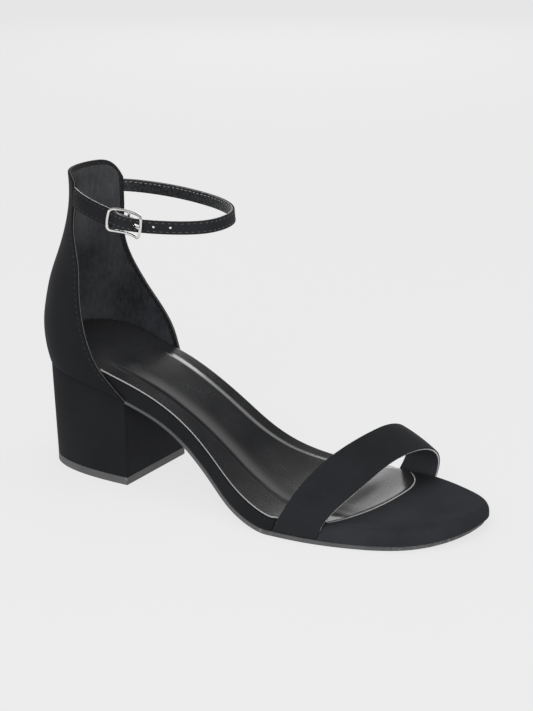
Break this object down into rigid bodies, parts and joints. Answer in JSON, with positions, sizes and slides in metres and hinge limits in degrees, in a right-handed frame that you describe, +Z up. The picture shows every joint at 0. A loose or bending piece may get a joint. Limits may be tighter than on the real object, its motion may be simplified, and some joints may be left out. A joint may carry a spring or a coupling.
{
  "type": "block heel sandal",
  "caption": "Right open toe sandal in black nubuck with a covered block heel, a closed back, a toe band and a buckled ankle strap.",
  "frame": {"origin": "on the floor, under the middle of the shoe's box", "axes": "+X from the heel to the toe, +Y to the medial side, +Z up"},
  "size_m": [0.2378, 0.0908, 0.1519],
  "materials": {
    "nubuck": "matte nubuck",
    "satin_sock": "satin",
    "board": "matte",
    "sole_rubber": "matte",
    "lift_rubber": "matte",
    "nickel": "polished"
  },
  "bodies": {
    "root": {"top_lift": "lift_rubber", "heel_block": "nubuck", "outsole": "sole_rubber", "insole_board": "board", "edge_wrap": "nubuck", "toe_cover": "nubuck", "insole_sock": "satin_sock", "toe_band": "nubuck", "heel_counter": "nubuck", "ankle_strap": "nubuck", "buckle_tab": "nubuck", "buckle_frame": "nickel", "buckle_prong": "nickel"}
  },
  "joints": []
}
